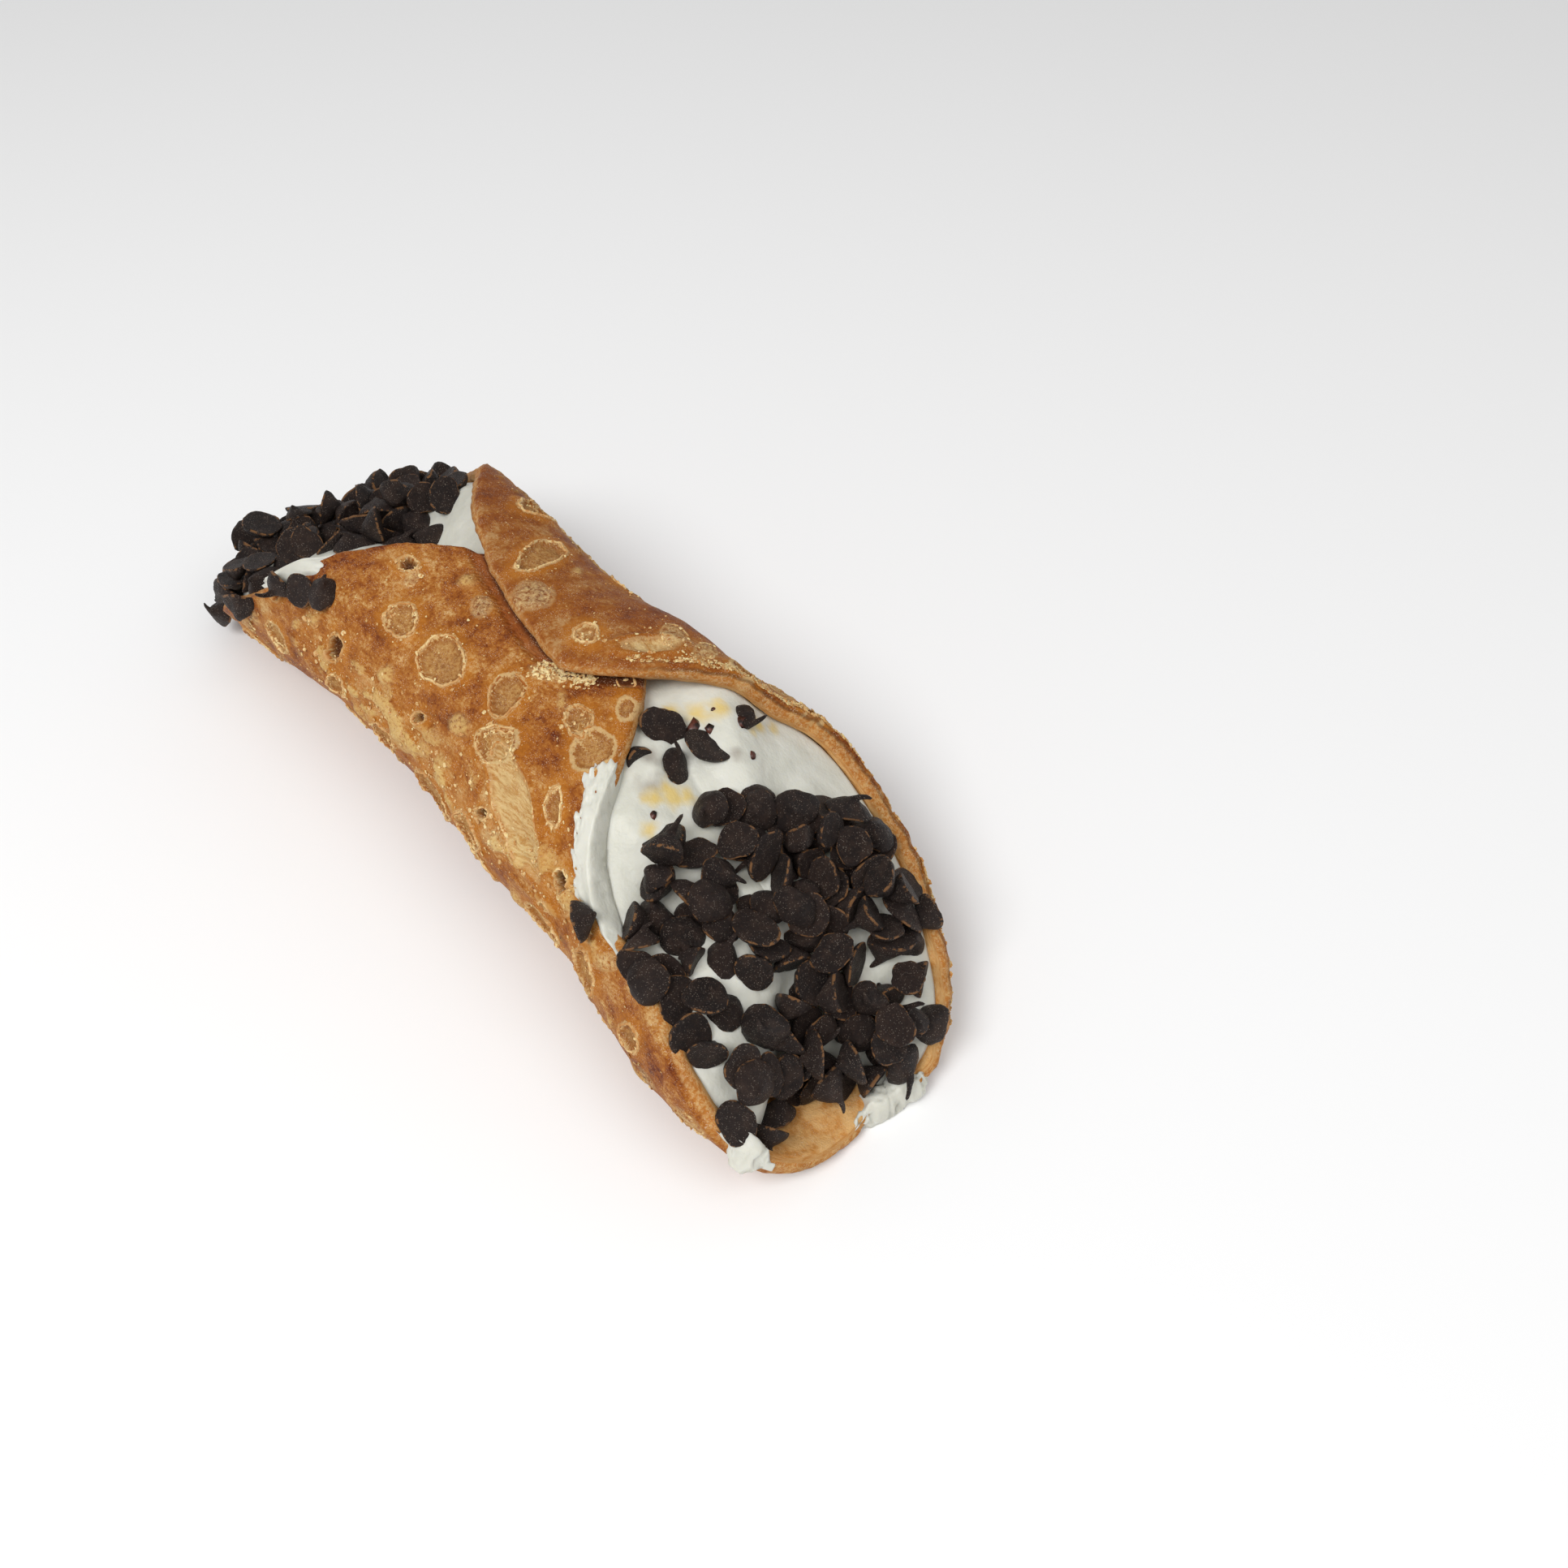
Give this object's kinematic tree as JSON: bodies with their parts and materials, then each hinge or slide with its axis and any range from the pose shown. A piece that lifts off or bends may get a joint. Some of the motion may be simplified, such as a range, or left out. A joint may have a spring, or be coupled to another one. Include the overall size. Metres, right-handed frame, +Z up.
{
  "type": "cannoli",
  "caption": "Fried pastry tube lapped on top with two slanted mouths, filled with white ricotta cream and heaped at both ends with dark chocolate drops; lies on its side.",
  "frame": {"origin": "bottom centre of the bounding box, on the surface that the cannolo lies on", "axes": "+X along the tube towards the mouth cut further back, +Y towards the flap that laps on top, +Z up"},
  "size_m": [0.1318, 0.0458, 0.0354],
  "materials": {
    "fried_dough": "golden brown fried dough, blistered, dry",
    "ricotta_cream": "smooth off-white cream",
    "dark_chocolate": "dull dark chocolate with scuffed edges"
  },
  "bodies": {
    "root": {"shell": "fried_dough", "cream": "ricotta_cream", "drops_near": "dark_chocolate", "drops_far": "dark_chocolate"}
  },
  "joints": []
}
